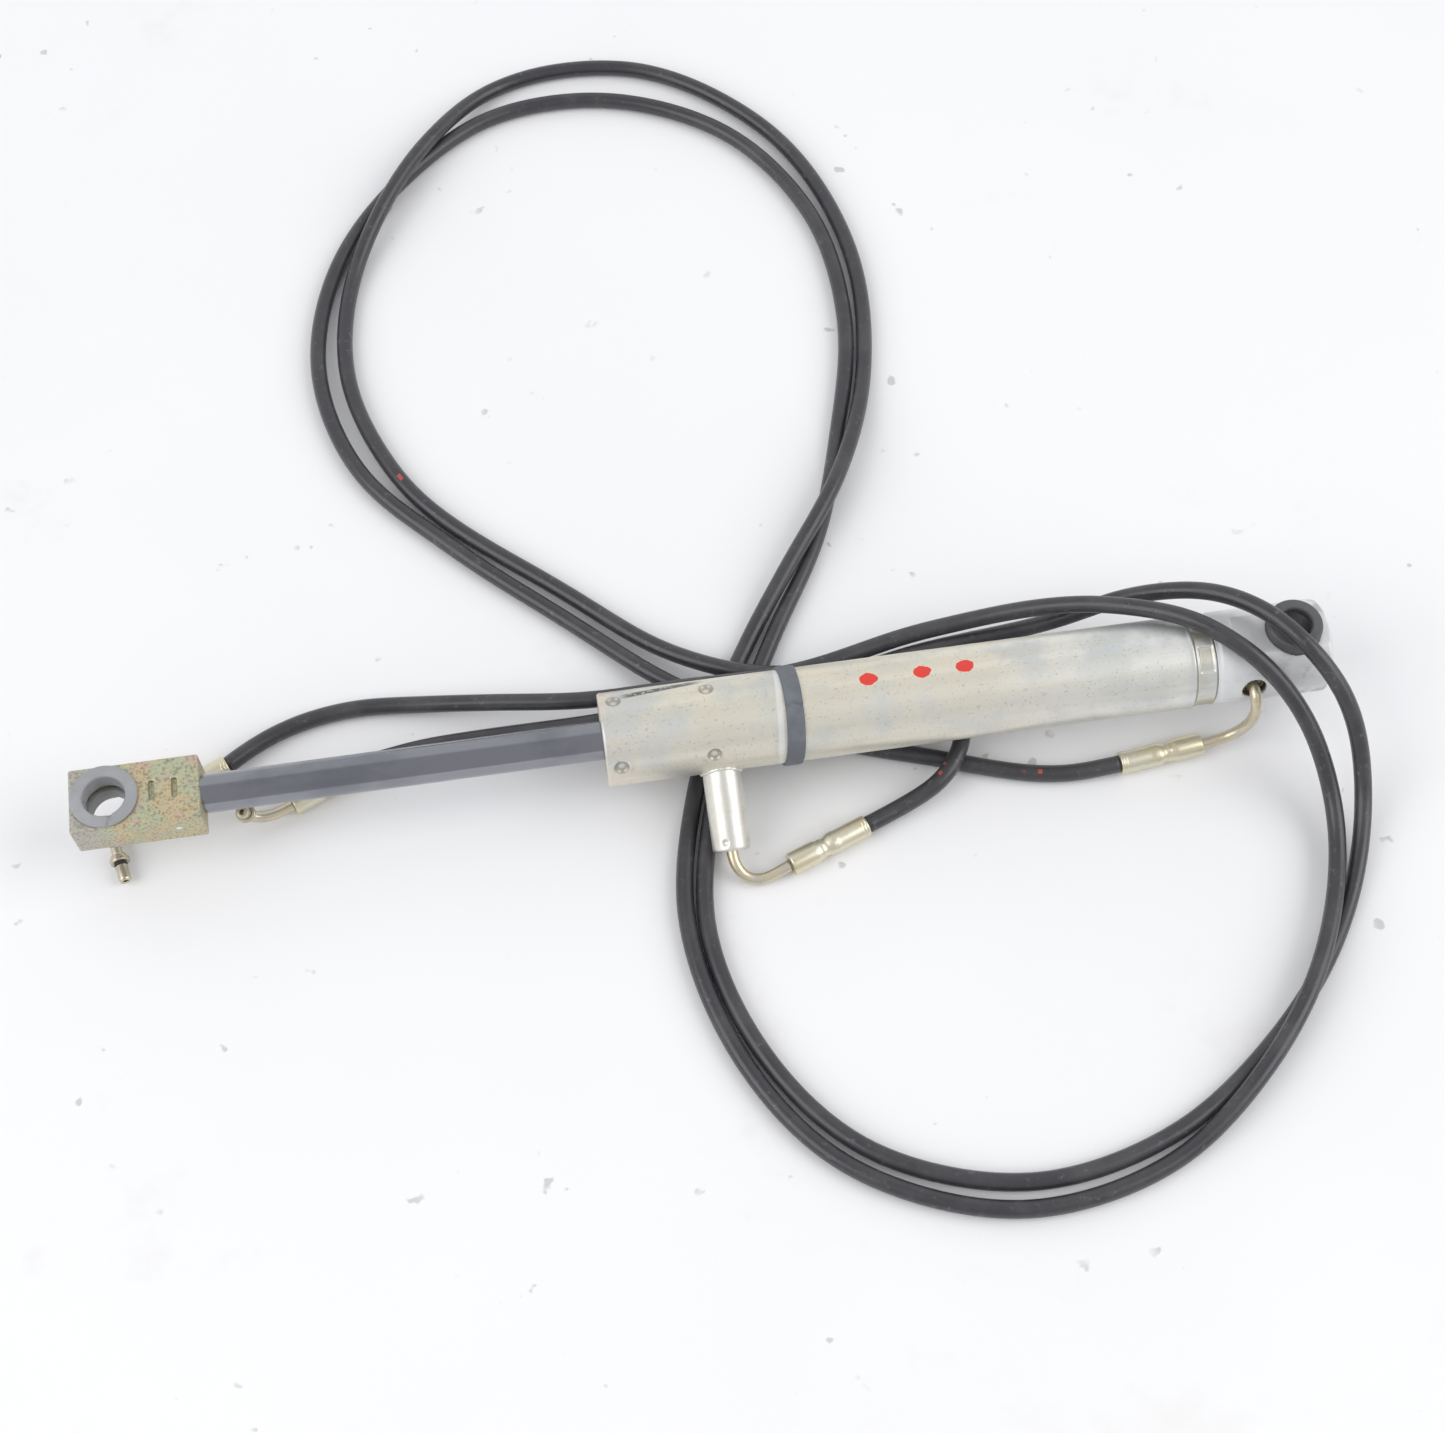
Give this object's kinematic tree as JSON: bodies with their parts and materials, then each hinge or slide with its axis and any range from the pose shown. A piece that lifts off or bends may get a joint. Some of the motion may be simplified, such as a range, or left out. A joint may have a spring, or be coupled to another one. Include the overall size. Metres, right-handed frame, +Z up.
{
  "type": "hydraulic cylinder with hoses",
  "caption": "Small double-acting hydraulic cylinder with an eye at each end and two thin hoses crimped to it, lying on its own looped hoses.",
  "frame": {"origin": "centre of the eye in the end cap, on the axis of the cylinder", "axes": "+X along the cylinder from the rod end towards the cap, +Z up along the axes of both eyes, +Y to the side away from the ports; the floor is at z = -0.030 m"},
  "size_m": [0.4631, 0.5291, 0.0568],
  "materials": {
    "barrel_zinc": "smooth drawn tube with warm clear zinc plating",
    "sleeve_zinc": "bright zinc plating",
    "cap_metal": "fine bead-blasted light grey",
    "guide_metal": "turned aluminium",
    "rod_chrome": "polished hard chrome",
    "gold_zinc": "yellow zinc with a faint rainbow tint",
    "fitting_zinc": "pale gold zinc",
    "bush_grey": "dark grey sliding liner",
    "steel_plain": "plain steel",
    "rubber_black": "dull black rubber",
    "hose_black": "smooth black hose cover with a light sheen",
    "seal_black": "black sealing rubber",
    "seal_plastic": "sealing polyurethane",
    "wear_tape": "brown guide tape"
  },
  "bodies": {
    "barrel": {"barrel_tube": "barrel_zinc", "rod_guide": "guide_metal", "guide_o_ring": "seal_black", "rod_seal": "seal_plastic", "rod_wiper": "seal_black", "port_sleeve": "sleeve_zinc", "sleeve_weld": "sleeve_zinc", "sleeve_plug": "fitting_zinc", "sleeve_plug_o_ring": "seal_black", "end_cap": "cap_metal", "cap_o_ring": "seal_black", "cap_bush": "rubber_black", "cap_bush_sleeve": "steel_plain", "cap_plug": "fitting_zinc", "cap_plug_o_ring": "seal_black", "cap_clip": "steel_plain", "rubber_band": "rubber_black", "pipe_a": "fitting_zinc", "ferrule_a": "fitting_zinc", "hose_a": "hose_black", "pipe_b": "fitting_zinc", "ferrule_b": "fitting_zinc", "hose_b": "hose_black", "end_ferrule_1": "fitting_zinc", "end_pipe_1": "fitting_zinc", "end_nipple_1": "fitting_zinc", "nipple_o_ring_1": "seal_black", "end_ferrule_2": "fitting_zinc", "end_pipe_2": "fitting_zinc", "end_nipple_2": "fitting_zinc", "nipple_o_ring_2": "seal_black"},
    "piston_rings": {"piston_seal": "seal_plastic", "wear_ring": "wear_tape"},
    "rod": {"piston_rod": "rod_chrome", "piston": "guide_metal", "piston_o_ring": "seal_black", "piston_nut": "steel_plain", "rod_end_block": "gold_zinc", "rod_end_bush_top": "bush_grey", "rod_end_bush_bottom": "bush_grey"}
  },
  "joints": [
    {"name": "rod_slide", "type": "slide", "parent": "barrel", "child": "piston_rings", "axis": [1, 0, 0], "range_m": [0, 0.14]},
    {"name": "rod_turn", "type": "hinge", "parent": "piston_rings", "child": "rod", "pos_m": [-0.194, 0, 0], "axis": [1, 0, 0], "continuous": true}
  ]
}
